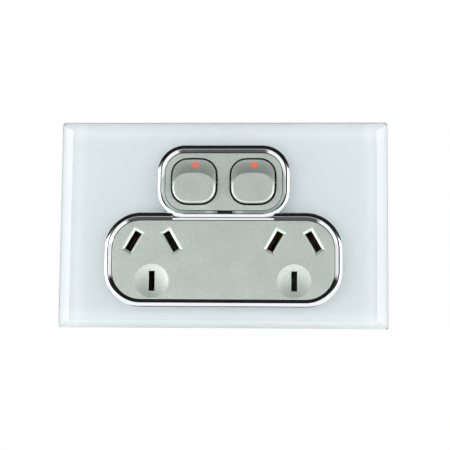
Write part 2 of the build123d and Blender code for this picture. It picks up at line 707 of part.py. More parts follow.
for name, side in SIDES:
    rocker_x = side * ROCKER_X
    # the sleeve's axis points back and, in the on position, up
    sleeve_axis = Plane(
        origin=(rocker_x, -PIVOT_H, UPPER_Z),
        x_dir=(1, 0, 0),
        z_dir=(0, math.cos(HALF_TURN), math.sin(HALF_TURN)),
    )
    # the plane under the red mark touches the hollow at the mark's middle
    steep = math.radians(PAD_DRAFT)
    mark_slope = math.asin(math.sin(steep) - (MARK_Z + ROCKER_H / 2 - PAD_INSET - PAD_H) / SHELF_R)
    mark_base = Plane(
        origin=(
            rocker_x + MARK_X,
            SHELF_R * (math.cos(mark_slope) - math.cos(steep)) - PAD_TOP,
            UPPER_Z + MARK_Z,
        ),
        x_dir=(1, 0, 0),
        z_dir=(0, -math.cos(mark_slope), math.sin(mark_slope)),
    ).offset(-MARK_T)
    outline = squircle(ROCKER_W, ROCKER_H, APERTURE_R - ROCKER_GAP, APERTURE_BOW)

    with BuildPart() as rocker:
        with BuildSketch(at(PIVOT_H - 3.0)):
            with Locations((rocker_x, UPPER_Z)):
                add(outline)
        extrude(amount=FACE - PIVOT_H + 3.0)
        # inside the aperture it stays within a circle about the pivot
        with Locations(Location((rocker_x, -PIVOT_H, UPPER_Z), (0, 90, 0))):
            Cylinder(TURN_R, 2 * ROCKER_W, mode=Mode.INTERSECT)
        with BuildSketch(at(FACE - 0.5)):
            with Locations((rocker_x, UPPER_Z)):
                add(outline)
        extrude(amount=SHELF_TOP - FACE + 0.5)
        add(finger_pad(rocker_x, outline))
        with Locations(Location((rocker_x, -PIVOT_H, UPPER_Z), (0, 90, 0))):
            Cylinder(TRUNNION_R, ROCKER_W + 2 * TRUNNION_L)
        with BuildSketch(sleeve_axis.offset(1.5)):
            Circle(SLEEVE_R)
        extrude(amount=SLEEVE_END - 1.5)
        with BuildSketch(sleeve_axis.offset(BORE_START)):
            Circle(BORE_R)
        extrude(amount=SLEEVE_END - BORE_START, mode=Mode.SUBTRACT)
        with BuildSketch(mark_base):
            RectangleRounded(MARK_W, MARK_H, MARK_R)
        extrude(amount=MARK_T + 1.0, mode=Mode.SUBTRACT)
    save(rocker, f"rocker_{name}")

    with BuildPart() as on_mark:
        with BuildSketch(mark_base):
            RectangleRounded(MARK_W - 0.04, MARK_H - 0.04, MARK_R - 0.02)
        extrude(amount=MARK_T + 0.05)
    save(on_mark, f"on_mark_{name}")

    tip_reach = PIVOT_H - LEVER_H - LEVER_T / 2 - TIP_GAP
    with BuildPart() as plunger:
        with BuildSketch(sleeve_axis.offset(BORE_START + SPRING_L)):
            Circle(PLUNGER_R)
        extrude(amount=tip_reach - PLUNGER_R - BORE_START - SPRING_L)
        with Locations(sleeve_axis.offset(tip_reach - PLUNGER_R).origin):
            Sphere(PLUNGER_R)
    save(plunger, f"plunger_{name}")

    with BuildPart() as plunger_spring:
        with Locations(sleeve_axis.offset(BORE_START + SPRING_WIRE).location):
            add(coil_spring(BORE_R - SPRING_WIRE - 0.15, SPRING_L - 2 * SPRING_WIRE))
    save(plunger_spring, f"plunger_spring_{name}")

    # lever in the on position: its upper end is back, on the fixed tip
    lever_plane = Plane(
        origin=(rocker_x, -LEVER_H, UPPER_Z),
        x_dir=(1, 0, 0),
        z_dir=(0, -math.cos(HALF_TURN), math.sin(HALF_TURN)),
    )
    with BuildPart() as contact_lever:
        with Locations(lever_plane.location * Location((0, 0, 0), (0, 90, 0))):
            Cylinder(LEVER_BEAD_R, LEVER_W)
        with BuildSketch(lever_plane):
            Rectangle(2 * LEVER_W, 3 * LEVER_BEAD_R)
        extrude(amount=2 * LEVER_BEAD_R, mode=Mode.SUBTRACT)
        with BuildSketch(lever_plane.offset(-LEVER_T / 2)):
            with Locations((0, (LEVER_UP - LEVER_DOWN) / 2)):
                RectangleRounded(LEVER_W, LEVER_UP + LEVER_DOWN, 1.5)
        extrude(amount=LEVER_T)
    save(contact_lever, f"contact_lever_{name}")

    with BuildPart() as moving_tip:
        with BuildSketch(lever_plane.offset(-LEVER_T / 2)):
            with Locations((0, TIP_ARM)):
                Circle(TIP_R)
        extrude(amount=-TIP_T)
        fillet(moving_tip.edges().group_by(Axis.Y)[-1], 0.35)
    save(moving_tip, f"moving_tip_{name}")

# Fixed tips stand on the active contacts, just under the moving tips
fixed_top = -moving_tip.part.bounding_box().max.Y - CONTACT_GAP
with BuildPart() as fixed_contact_tips:
    with BuildSketch(at(LEVEL_TWO + STRIP_T)):
        with Locations((-ROCKER_X, TIP_Z), (ROCKER_X, TIP_Z)):
            Circle(TIP_R + 0.3)
    extrude(amount=fixed_top - LEVEL_TWO - STRIP_T)
save(fixed_contact_tips, "fixed_contact_tips")

# Tunnel terminals: a wire bore along Z and two clamping screws from the back
CLAMP_Z = (BARREL_Z - CLAMP_PITCH / 2, BARREL_Z + CLAMP_PITCH / 2)
for name, x in TERMINAL_X.items():
    with BuildPart() as terminal:
        with BuildSketch(at(BARREL_BACK)):
            with Locations((x, BARREL_Z)):
                RectangleRounded(BARREL_W, BARREL_L, 0.5)
        extrude(amount=BARREL_T)
        with Locations((x, -(BARREL_FRONT - WIRE_DEPTH), BARREL_Z)):
            Cylinder(WIRE_R, BARREL_L, mode=Mode.SUBTRACT)
        with BuildSketch(at(BARREL_BACK)):
            with Locations((x, CLAMP_Z[0]), (x, CLAMP_Z[1])):
                Circle(CLAMP_R + RUNNING)
        extrude(amount=BARREL_T - WIRE_DEPTH, mode=Mode.SUBTRACT)
    save(terminal, f"terminal_{name}")

# Clamping screws, backed out clear of the wire bores
clamp_tip = BARREL_FRONT - WIRE_DEPTH - WIRE_R - 0.2
head_base = BARREL_BACK - 0.7
with BuildPart() as terminal_screws:
    places = [(x, z) for x in TERMINAL_X.values() for z in CLAMP_Z]
    with BuildSketch(at(head_base)):
        with Locations(places):
            Circle(CLAMP_R)
    extrude(amount=clamp_tip - head_base)
    with BuildSketch(at(head_base - CLAMP_HEAD_T)):
        with Locations(places):
            Circle(CLAMP_HEAD_R)
    extrude(amount=CLAMP_HEAD_T)
    with BuildSketch(at(head_base - CLAMP_HEAD_T)):
        with Locations(places):
            Rectangle(0.8, 4 * CLAMP_HEAD_R - 5.4, rotation=35)
            Rectangle(4 * CLAMP_HEAD_R - 5.4, 0.8, rotation=35)
    extrude(amount=0.7, mode=Mode.SUBTRACT)
save(terminal_screws, "terminal_screws")

# Housing screws, heads sunk in the back of the housing
with BuildPart() as housing_screws:
    corners = [(sx * SCREW_X, sz * SCREW_Z) for sx in (-1, 1) for sz in (-1, 1)]
    seat = HOUSE_BACK + 2.0
    with BuildSketch(at(seat)):
        with Locations(corners):
            Circle(SCREW_R)
    extrude(amount=BOSS_END + 4.5 - seat)
    with BuildSketch(at(seat - SCREW_HEAD_T)):
        with Locations(corners):
            Circle(SCREW_HEAD_R)
    extrude(amount=SCREW_HEAD_T)
    with BuildSketch(at(seat - SCREW_HEAD_T)):
        with Locations(corners):
            Rectangle(0.8, 3.2, rotation=20)
            Rectangle(3.2, 0.8, rotation=20)
    extrude(amount=0.9, mode=Mode.SUBTRACT)
save(housing_screws, "housing_screws")
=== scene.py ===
"""Double switched socket outlet: finishes, back paint, studio and camera round the solids."""

from __future__ import annotations

import logging
import math
from dataclasses import dataclass, field
from enum import Enum
from typing import Any

import bmesh
import bpy
from mathutils import Matrix, Vector


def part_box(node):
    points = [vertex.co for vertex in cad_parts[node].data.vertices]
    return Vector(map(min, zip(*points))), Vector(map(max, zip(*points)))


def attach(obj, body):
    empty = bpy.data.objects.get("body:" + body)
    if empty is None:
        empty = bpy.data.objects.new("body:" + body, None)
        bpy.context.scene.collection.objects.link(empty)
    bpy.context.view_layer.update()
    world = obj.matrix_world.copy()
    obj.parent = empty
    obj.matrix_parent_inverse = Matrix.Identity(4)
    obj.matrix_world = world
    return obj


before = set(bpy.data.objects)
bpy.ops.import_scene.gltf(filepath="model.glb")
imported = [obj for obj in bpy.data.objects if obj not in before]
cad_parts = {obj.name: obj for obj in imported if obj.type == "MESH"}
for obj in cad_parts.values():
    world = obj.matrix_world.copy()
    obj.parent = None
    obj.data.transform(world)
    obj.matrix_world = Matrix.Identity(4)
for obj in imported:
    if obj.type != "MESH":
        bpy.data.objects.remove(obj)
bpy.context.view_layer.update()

log = logging.getLogger("outlet")

MM = 0.001
Point = tuple[float, float]
Span = tuple[float, float]
Bands = tuple[Span, ...]
Colour = tuple[float, float, float, float]
WHITE: Colour = (1.0, 1.0, 1.0, 1.0)


def linear(code: str) -> Colour:
    """Turn an sRGB hex colour into the linear colour that shaders take.

    Args:
        code: Six hex digits after a hash, such as "#c0c0c0".

    Returns:
        Red, green, blue and an alpha of 1.
    """
    parts = [int(code[i : i + 2], 16) / 255 for i in (1, 3, 5)]
    red, green, blue = (p / 12.92 if p <= 0.04045 else ((p + 0.055) / 1.055) ** 2.4 for p in parts)
    return red, green, blue, 1.0


def per_mm(size: float) -> float:
    """Texture scale, in repeats per metre, of a pattern that repeats every size millimetres."""
    return 1 / (size * MM)


def add_node(
    tree: bpy.types.NodeTree, kind: str, inputs: dict[Any, Any] | None = None, **settings: Any
) -> bpy.types.Node:
    """Add one shader node with its settings and links.

    Args:
        tree: Node tree that takes the node.
        kind: Blender's name of the node type.
        inputs: Value or output socket for each input, by the input's name or number.
        **settings: Properties of the node itself.

    Returns:
        The new node.
    """
    node = tree.nodes.new(kind)
    for name, value in settings.items():
        setattr(node, name, value)
    for name, value in (inputs or {}).items():
        if isinstance(value, bpy.types.NodeSocket):
            tree.links.new(value, node.inputs[name])
        else:
            node.inputs[name].default_value = value
    return node


def start_material(name: str) -> tuple[bpy.types.Material, bpy.types.NodeTree]:
    """Start a material with an empty node tree.

    Args:
        name: Common name of the material and how it was made.

    Returns:
        The material and its node tree.
    """
    made = bpy.data.materials.new(name)
    made.use_nodes = True
    made.node_tree.nodes.clear()
    return made, made.node_tree


# Sockets of the Mix node, by number because their names repeat
FACTOR, VALUE_A, VALUE_B, COLOUR_A, COLOUR_B = 0, 2, 3, 6, 7
MIXED_VALUE, MIXED_COLOUR = 0, 2
# Where most of Blender's noise lies
NOISE_SPAN: Span = (0.3, 0.7)
# Rays that feel out a rounded edge
EDGE_RAYS = 4
# Agreement of the rounded normal with the face's own, where edge wear and the painted highlight
# start and where they are full
EDGE_WEAR_AND_HIGHLIGHT_AGREEMENT: Span = (1.0, 0.7)
# How much of the edge colour, for wear and painted highlight, shows where the mask is full
EDGE_WEAR_AND_HIGHLIGHT_SHARE = 0.5
# Darkest and lightest flake, as a share of the paint's colour
FLAKE_GAIN: Span = (0.94, 1.06)
# Half the height over which the painted shade in slots and gaps fades in
FADE_MM = 0.1
# Stretch of a rolled strip's lines along X, Y and Z
ROLLED_STRETCH = (0.06, 1.0, 1.0)
# Normal along Y, from a face turned to the front to an upright wall, for the painted shade on walls
UPRIGHT_SPAN: Span = (-0.45, -0.25)


class Making(Enum):
    """How a surface got its fine texture."""

    SPARK_ERODED = "spark-eroded mould"
    POLISHED_MOULD = "polished mould"
    ROLLED = "rolled strip"
    PLATED = "electroplated"


@dataclass(frozen=True)
class Finish:
    """An opaque surface: drifting colour, fine relief and edges lightened by wear and as a painted
    highlight.

    Attributes:
        name: Common name of the material and how it was made.
        colour: Main colour, sRGB hex.
        tone: Second colour that drifts through the first, sRGB hex.
        roughness: Mean roughness.
        gloss_drift: How far the roughness drifts either way.
        making: How the surface got its texture.
        metallic: 0 for plastic, 1 for metal.
        ior: Refractive index; a metal keeps Blender's default.
        drift_mm: Size of the patches in which the tone drifts.
        gloss_share: Size of the patches in which the roughness drifts, as a share of drift_mm.
        relief_mm: Spacing of the fine relief, drawn coarser where the real one is too fine.
        relief_depth_mm: Depth of the fine relief.
        edge_mm: Radius that tooling leaves on the edges.
        edge_wear_and_highlight_colour: Colour of the edges, rubbed by handling and lightened as a
            painted highlight, sRGB hex.
        flake_mm: Size of the metal flakes in a paint, or 0 for none.
        recess_shade_colour: Colour of the painted shade deep in slots and gaps, sRGB hex, or none
            for no such shade.
        shade_floor_mm: Height above the wall below which every face takes the painted shade.
        wall_shade_floor_mm: Height below which upright walls take the painted shade too.
    """

    name: str
    colour: str
    tone: str
    roughness: float
    gloss_drift: float
    making: Making
    metallic: float = 0.0
    ior: float = 1.5
    drift_mm: float = 14.0
    gloss_share: float = 0.4
    relief_mm: float = 0.5
    relief_depth_mm: float = 0.004
    edge_mm: float = 0.12
    edge_wear_and_highlight_colour: str = "#ffffff"
    flake_mm: float = 0.0
    recess_shade_colour: str | None = None
    shade_floor_mm: float = 0.0
    wall_shade_floor_mm: float = 0.0

    def stretch(self) -> tuple[float, float, float]:
        """Stretch of the relief along X, Y and Z: rolled strip has long lines along X."""
        return ROLLED_STRETCH if self.making is Making.ROLLED else (1.0, 1.0, 1.0)

    def material(self) -> bpy.types.Material:
        """Build the node tree of this finish.

        Returns:
            The new material.
        """
        made, tree = start_material(self.name)
        on_piece = add_node(tree, "ShaderNodeTexCoord").outputs
        place = on_piece["Object"]
        rounded = add_node(
            tree, "ShaderNodeBevel", {"Radius": self.edge_mm * MM}, samples=EDGE_RAYS
        ).outputs["Normal"]
        tint = self.tint_with_highlit_edges(tree, place, rounded)
        metallic: Any = self.metallic
        # Painted shade: black deep in slots and gaps and low on upright walls, where light hardly
        # reaches
        if self.recess_shade_colour:
            painted_shade = self.painted_recess_shade(tree, place, on_piece["Normal"])
            tint = add_node(
                tree,
                "ShaderNodeMix",
                {FACTOR: painted_shade, COLOUR_A: tint, COLOUR_B: linear(self.recess_shade_colour)},
                data_type="RGBA",
            ).outputs[MIXED_COLOUR]
            metallic = add_node(
                tree, "ShaderNodeMix", {FACTOR: painted_shade, VALUE_A: self.metallic, VALUE_B: 0.0}
            ).outputs[MIXED_VALUE]
        surface = add_node(
            tree,
            "ShaderNodeBsdfPrincipled",
            {
                "Base Color": tint,
                "Metallic": metallic,
                "Roughness": self.drifting_gloss(tree, place),
                "IOR": self.ior,
                "Normal": self.relief(tree, place, rounded),
            },
        )
        add_node(tree, "ShaderNodeOutputMaterial", {"Surface": surface.outputs["BSDF"]})
        return made

    def tint_with_highlit_edges(
        self,
        tree: bpy.types.NodeTree,
        place: bpy.types.NodeSocket,
        rounded: bpy.types.NodeSocket,
    ) -> bpy.types.NodeSocket:
        """Colour that drifts between the two tones and is lighter along the edges, by wear and as a
        painted highlight.

        Args:
            tree: Node tree of the material.
            place: Object coordinates.
            rounded: Normal with rounded edges.

        Returns:
            Output socket of the colour.
        """
        drift = add_node(
            tree,
            "ShaderNodeTexNoise",
            {"Vector": place, "Scale": per_mm(self.drift_mm), "Detail": 3.0, "Roughness": 0.55},
        )
        tint = add_node(
            tree,
            "ShaderNodeMix",
            {
                FACTOR: drift.outputs["Fac"],
                COLOUR_A: linear(self.colour),
                COLOUR_B: linear(self.tone),
            },
            data_type="RGBA",
        ).outputs[MIXED_COLOUR]
        if self.flake_mm:
            tint = self.flakes(tree, place, tint)
        # Edges lighter by wear and as a painted highlight
        wear_and_highlight = self.worn_and_highlit_edges(tree, rounded)
        return add_node(
            tree,
            "ShaderNodeMix",
            {FACTOR: wear_and_highlight, COLOUR_A: tint, COLOUR_B: linear(self.edge_wear_and_highlight_colour)},
            data_type="RGBA",
        ).outputs[MIXED_COLOUR]

    def drifting_gloss(
        self, tree: bpy.types.NodeTree, place: bpy.types.NodeSocket
    ) -> bpy.types.NodeSocket:
        """Roughness that drifts a little either way.

        Args:
            tree: Node tree of the material.
            place: Object coordinates.

        Returns:
            Output socket of the roughness.
        """
        gloss = add_node(
            tree,
            "ShaderNodeTexNoise",
            {"Vector": place, "Scale": per_mm(self.gloss_share * self.drift_mm), "Detail": 4.0},
        )
        return add_node(
            tree,
            "ShaderNodeMapRange",
            {
                "Value": gloss.outputs["Fac"],
                "From Min": NOISE_SPAN[0],
                "From Max": NOISE_SPAN[1],
                "To Min": self.roughness - self.gloss_drift,
                "To Max": self.roughness + self.gloss_drift,
            },
        ).outputs["Result"]

    def relief(
        self,
        tree: bpy.types.NodeTree,
        place: bpy.types.NodeSocket,
        rounded: bpy.types.NodeSocket,
    ) -> bpy.types.NodeSocket:
        """Normal with the fine relief that the making left.

        Args:
            tree: Node tree of the material.
            place: Object coordinates.
            rounded: Normal with rounded edges.

        Returns:
            Output socket of the normal.
        """
        grain_place = add_node(
            tree, "ShaderNodeMapping", {"Vector": place, "Scale": self.stretch()}
        )
        grain = add_node(
            tree,
            "ShaderNodeTexNoise",
            {
                "Vector": grain_place.outputs["Vector"],
                "Scale": per_mm(self.relief_mm),
                "Detail": 2.0,
                "Roughness": 0.6,
            },
        )
        return add_node(
            tree,
            "ShaderNodeBump",
            {
                "Strength": 1.0,
                "Distance": self.relief_depth_mm * MM,
                "Height": grain.outputs["Fac"],
                "Normal": rounded,
            },
        ).outputs["Normal"]

    def worn_and_highlit_edges(
        self, tree: bpy.types.NodeTree, rounded: bpy.types.NodeSocket
    ) -> bpy.types.NodeSocket:
        """Mask of the edge wear and painted highlight, where the rounded normal turns away from the
        face's own.

        Args:
            tree: Node tree of the material.
            rounded: Normal with rounded edges.

        Returns:
            Output socket, 0 on faces and up to EDGE_WEAR_AND_HIGHLIGHT_SHARE on sharp edges.
        """
        face = add_node(tree, "ShaderNodeNewGeometry").outputs["Normal"]
        agree = add_node(
            tree, "ShaderNodeVectorMath", {0: face, 1: rounded}, operation="DOT_PRODUCT"
        ).outputs["Value"]
        return add_node(
            tree,
            "ShaderNodeMapRange",
            {
                "Value": agree,
                "From Min": EDGE_WEAR_AND_HIGHLIGHT_AGREEMENT[0],
                "From Max": EDGE_WEAR_AND_HIGHLIGHT_AGREEMENT[1],
                "To Max": EDGE_WEAR_AND_HIGHLIGHT_SHARE,
            },
        ).outputs["Result"]

    def flakes(
        self,
        tree: bpy.types.NodeTree,
        place: bpy.types.NodeSocket,
        tint: bpy.types.NodeSocket,
    ) -> bpy.types.NodeSocket:
        """Metal flakes in a paint: each cell is a touch lighter or darker.

        Args:
            tree: Node tree of the material.
            place: Object coordinates.
            tint: Colour without the flakes.

        Returns:
            Colour with the flakes.
        """
        cells = add_node(
            tree, "ShaderNodeTexVoronoi", {"Vector": place, "Scale": per_mm(self.flake_mm)}
        )
        level = add_node(tree, "ShaderNodeSeparateColor", {0: cells.outputs["Color"]})
        gain = add_node(
            tree,
            "ShaderNodeMapRange",
            {"Value": level.outputs[0], "To Min": FLAKE_GAIN[0], "To Max": FLAKE_GAIN[1]},
        )
        return add_node(
            tree,
            "ShaderNodeVectorMath",
            {0: tint, "Scale": gain.outputs["Result"]},
            operation="SCALE",
        ).outputs["Vector"]

    def painted_recess_shade(
        self,
        tree: bpy.types.NodeTree,
        place: bpy.types.NodeSocket,
        facing: bpy.types.NodeSocket,
    ) -> bpy.types.NodeSocket:
        """Mask of the painted shade deep in slots and gaps and low on upright walls.

        Args:
            tree: Node tree of the material.
            place: Object coordinates.
            facing: Normal in object coordinates.

        Returns:
            Output socket, 1 where the painted shade is full.
        """
        depth = add_node(tree, "ShaderNodeSeparateXYZ", {0: place}).outputs["Y"]
        front = add_node(tree, "ShaderNodeSeparateXYZ", {0: facing}).outputs["Y"]
        fades = [
            (depth, -(floor + FADE_MM) * MM, -(floor - FADE_MM) * MM)
            for floor in (self.shade_floor_mm, self.wall_shade_floor_mm)
        ]
        deep, lower, upright = (
            add_node(
                tree, "ShaderNodeMapRange", {"Value": value, "From Min": low, "From Max": high}
            ).outputs["Result"]
            for value, low, high in (*fades, (front, *UPRIGHT_SPAN))
        )
        walls = add_node(tree, "ShaderNodeMath", {0: lower, 1: upright}, operation="MULTIPLY")
        return add_node(
            tree, "ShaderNodeMath", {0: deep, 1: walls.outputs[0]}, operation="MAXIMUM"
        ).outputs[0]


@dataclass(frozen=True)
class GlassFinish:
    """Clear toughened float glass: a smooth, faintly rolled surface with a green-blue body.

    Attributes:
        name: Common name of the material and how it was made.
        ior: Refractive index of soda-lime glass.
        roughness: Roughness of the cleanest patches.
        smear: Roughness that finger marks add.
        body_colour: Colour that a long way through the glass leaves, sRGB hex.
        body_density: Absorption per metre.
        wave_mm: Spacing of the faint waves that tempering leaves.
        wave_depth_mm: Depth of those waves.
        smear_mm: Size of the finger marks.
        smear_span: Noise where a finger mark starts and where it is full.
    """

    name: str = "soda_lime_glass_toughened"
    ior: float = 1.52
    roughness: float = 0.0
    smear: float = 0.012
    body_colour: str = "#dff3ee"
    body_density: float = 12.0
    wave_mm: float = 28.0
    wave_depth_mm: float = 0.004
    smear_mm: float = 9.0
    smear_span: Span = (0.58, 0.8)

    def material(self) -> bpy.types.Material:
        """Build the node tree of the glass and its tinted body.

        Returns:
            The new material.
        """
        made, tree = start_material(self.name)
        place = add_node(tree, "ShaderNodeTexCoord").outputs["Object"]
        wave = add_node(
            tree, "ShaderNodeTexNoise", {"Vector": place, "Scale": per_mm(self.wave_mm)}
        )
        relief = add_node(
            tree,
            "ShaderNodeBump",
            {"Distance": self.wave_depth_mm * MM, "Height": wave.outputs["Fac"]},
        )
        marks = add_node(
            tree,
            "ShaderNodeTexNoise",
            {"Vector": place, "Scale": per_mm(self.smear_mm), "Detail": 5.0},
        )
        rough = add_node(
            tree,
            "ShaderNodeMapRange",
            {
                "Value": marks.outputs["Fac"],
                "From Min": self.smear_span[0],
                "From Max": self.smear_span[1],
                "To Min": self.roughness,
                "To Max": self.roughness + self.smear,
            },
        )
        glass = add_node(
            tree,
            "ShaderNodeBsdfPrincipled",
            {
                "Base Color": WHITE,
                "Roughness": rough.outputs["Result"],
                "IOR": self.ior,
                "Transmission Weight": 1.0,
                "Normal": relief.outputs["Normal"],
            },
        )
        body = add_node(
            tree,
            "ShaderNodeVolumeAbsorption",
            {"Color": linear(self.body_colour), "Density": self.body_density},
        )
        add_node(
            tree,
            "ShaderNodeOutputMaterial",
            {"Surface": glass.outputs["BSDF"], "Volume": body.outputs["Volume"]},
        )
        return made


# Bright chrome over moulded plastic: a mirror with the faintest ripple of the moulding under it.
CHROME = Finish(
    name="chrome_plated_abs",
    colour="#d8dadb",
    tone="#d0d3d5",
    roughness=0.05,
    gloss_drift=0.02,
    making=Making.PLATED,
    metallic=1.0,
    relief_mm=3.0,
    relief_depth_mm=0.0015,
    edge_mm=0.05,
    edge_wear_and_highlight_colour="#e3e5e6",
)
# Silver paint sprayed on ABS: satin, faintly green-grey, with a fine sparkle. Slots, gaps and
# the rockers' skirts below the front are painted black as shade. Real flakes are near 0.05 mm,
# too fine to show, so they are drawn ten times as coarse.
SILVER_PAINT = Finish(
    name="silver_paint_abs_shaded_recesses",
    colour="#d1dbd3",
    tone="#ccd6ce",
    roughness=0.42,
    gloss_drift=0.03,
    making=Making.SPARK_ERODED,
    metallic=0.65,
    relief_mm=0.5,
    relief_depth_mm=0.002,
    edge_mm=0.2,
    # The lighter edge colour here is a painted highlight on the rims
    edge_wear_and_highlight_colour="#e8eee9",
    flake_mm=0.5,
    # Below these heights the black is painted shade, on the rockers' skirts too
    recess_shade_colour="#050505",
    shade_floor_mm=8.85,
    wall_shade_floor_mm=9.55,
)
# White ABS from a spark-eroded mould: an even, slightly warm white with a dull, fine grain.
WHITE_ABS = Finish(
    name="white_abs_moulded",
    colour="#eff0ee",
    tone="#e8eae8",
    roughness=0.42,
    gloss_drift=0.06,
    making=Making.SPARK_ERODED,
    relief_mm=0.6,
    relief_depth_mm=0.006,
    ior=1.53,
)
# White polycarbonate: a little colder and glossier than the ABS, with broad flow marks.
WHITE_PC = Finish(
    name="white_polycarbonate_moulded",
    colour="#e9ebeb",
    tone="#dfe2e3",
    roughness=0.33,
    gloss_drift=0.08,
    making=Making.POLISHED_MOULD,
    ior=1.585,
    drift_mm=22.0,
    relief_mm=0.9,
    relief_depth_mm=0.004,
)
# Brass strip as it leaves the rolls: a yellow metal with long fine lines and a little tarnish.
BRASS = Finish(
    name="brass_rolled",
    colour="#b4924e",
    tone="#8f6f38",
    roughness=0.27,
    gloss_drift=0.09,
    making=Making.ROLLED,
    metallic=1.0,
    drift_mm=5.0,
    relief_mm=0.25,
    relief_depth_mm=0.004,
    edge_wear_and_highlight_colour="#e6cf93",
)
# Red pigmented ABS: a warm orange-red with a soft gloss.
RED_ABS = Finish(
    name="red_abs_moulded",
    colour="#f07f68",
    tone="#ea755f",
    roughness=0.3,
    gloss_drift=0.05,
    making=Making.POLISHED_MOULD,
    drift_mm=3.0,
    relief_mm=0.4,
    relief_depth_mm=0.002,
    edge_wear_and_highlight_colour="#f08a70",
)
# Zinc-plated steel: a cool grey metal, patchy where the plating is thicker.
ZINC = Finish(
    name="zinc_plated_steel",
    colour="#c3c7cb",
    tone="#a9afb6",
    roughness=0.3,
    gloss_drift=0.08,
    making=Making.PLATED,
    metallic=1.0,
    drift_mm=2.5,
    relief_mm=0.3,
    relief_depth_mm=0.003,
    edge_wear_and_highlight_colour="#e2e4e6",
)
# Silver contact rivets: a white metal with a thin warm tarnish.
CONTACT_SILVER = Finish(
    name="contact_silver_turned",
    colour="#dedcd6",
    tone="#bfb8a8",
    roughness=0.25,
    gloss_drift=0.08,
    making=Making.PLATED,
    metallic=1.0,
    drift_mm=1.5,
    relief_mm=0.2,
    relief_depth_mm=0.002,
)
# Natural nylon: creamy, dull and waxy.
NYLON = Finish(
    name="natural_nylon_moulded",
    colour="#e9e3d2",
    tone="#e0d8c4",
    roughness=0.45,
    gloss_drift=0.05,
    making=Making.POLISHED_MOULD,
    drift_mm=3.0,
    relief_mm=0.5,
    relief_depth_mm=0.003,
)


@dataclass(frozen=True)
class BackPaintFinish:
    """White enamel fired on the back of the glass, with painted shade along the rim and painted
    light in a band a few millimetres in.

    Attributes:
        half_width_mm: Half the width of the glass.
        half_height_mm: Half the height of the glass.
        name: Common name of the material and how it was made.
        colour: Colour seen through the glass, sRGB hex.
        tone: Second colour that drifts through the first, sRGB hex.
        drift_mm: Size of the patches in which the tone drifts.
        grain_mm: Size of the patches in which the roughness drifts.
        roughness: Lowest and highest roughness.
        headroom: Ramp level that stands for a lightness of 1, so that a band can be lighter.
        reach_mm: How far in from the edges the bands reach.
        side_light_bands: Distance from the left or right edge in millimetres and painted lightness
            there.
        end_light_bands: The same from the top or bottom edge.
    """

    half_width_mm: float
    half_height_mm: float
    name: str = "white_enamel_fired"
    colour: str = "#f4f9fb"
    tone: str = "#f3f8fa"
    drift_mm: float = 25.0
    grain_mm: float = 4.0
    roughness: Span = (0.5, 0.7)
    headroom: float = 0.8
    reach_mm: float = 9.0
    side_light_bands: Bands = ((0.0, 0.7), (0.5, 0.7), (0.7, 0.98), (4.6, 0.98), (6.2, 1.035), (9.0, 1.0))
    end_light_bands: Bands = ((0.0, 0.7), (0.5, 0.7), (0.7, 1.01), (2.2, 0.99), (4.2, 1.035), (7.0, 1.0))

    def lightness(
        self, tree: bpy.types.NodeTree, along: bpy.types.NodeSocket, half: float, bands: Bands
    ) -> bpy.types.NodeSocket:
        """Painted light and shade of the enamel by the distance from two opposite edges.

        Args:
            tree: Node tree of the material.
            along: Coordinate across the glass.
            half: Half the size of the glass that way, in millimetres.
            bands: Distance from the edge in millimetres and lightness there.

        Returns:
            Output socket, at headroom where the lightness is 1.
        """
        away = add_node(tree, "ShaderNodeMath", {0: along}, operation="ABSOLUTE")
        share = add_node(
            tree,
            "ShaderNodeMapRange",
            {
                "Value": away.outputs[0],
                "From Min": half * MM,
                "From Max": (half - self.reach_mm) * MM,
            },
        )
        ramp = add_node(tree, "ShaderNodeValToRGB", {0: share.outputs["Result"]})
        stops = ramp.color_ramp.elements
        while len(stops) < len(bands):
            stops.new(1.0)
        for stop, (distance, level) in zip(stops, bands):
            stop.position = distance / self.reach_mm
            stop.color = (*[self.headroom * level] * 3, 1.0)
        return ramp.outputs["Color"]

    def material(self) -> bpy.types.Material:
        """Build the node tree of the paint.

        Returns:
            The new material.
        """
        made, tree = start_material(self.name)
        place = add_node(tree, "ShaderNodeTexCoord").outputs["Object"]
        drift = add_node(
            tree,
            "ShaderNodeTexNoise",
            {"Vector": place, "Scale": per_mm(self.drift_mm), "Detail": 2.0},
        )
        tint = add_node(
            tree,
            "ShaderNodeMix",
            {
                FACTOR: drift.outputs["Fac"],
                COLOUR_A: linear(self.colour),
                COLOUR_B: linear(self.tone),
            },
            data_type="RGBA",
        ).outputs[MIXED_COLOUR]
        axes = add_node(tree, "ShaderNodeSeparateXYZ", {0: place})
        # Painted shade along the rim and painted light a few millimetres in from the edges
        sides = self.lightness(tree, axes.outputs["X"], self.half_width_mm, self.side_light_bands)
        ends = self.lightness(tree, axes.outputs["Z"], self.half_height_mm, self.end_light_bands)
        level = add_node(tree, "ShaderNodeMath", {0: sides, 1: ends}, operation="MULTIPLY")
        level = add_node(
            tree, "ShaderNodeMath", {0: level.outputs[0], 1: self.headroom**2}, operation="DIVIDE"
        )
        tint = add_node(
            tree, "ShaderNodeVectorMath", {0: tint, "Scale": level.outputs[0]}, operation="SCALE"
        ).outputs["Vector"]
        gloss = add_node(
            tree,
            "ShaderNodeTexNoise",
            {"Vector": place, "Scale": per_mm(self.grain_mm), "Detail": 3.0},
        )
        rough = add_node(
            tree,
            "ShaderNodeMapRange",
            {
                "Value": gloss.outputs["Fac"],
                "To Min": self.roughness[0],
                "To Max": self.roughness[1],
            },
        )
        # Fired onto the glass, it has no gloss of its own
        surface = add_node(
            tree,
            "ShaderNodeBsdfPrincipled",
            {"Base Color": tint, "Roughness": rough.outputs["Result"], "Specular IOR Level": 0.0},
        )
        add_node(tree, "ShaderNodeOutputMaterial", {"Surface": surface.outputs["BSDF"]})
        return made


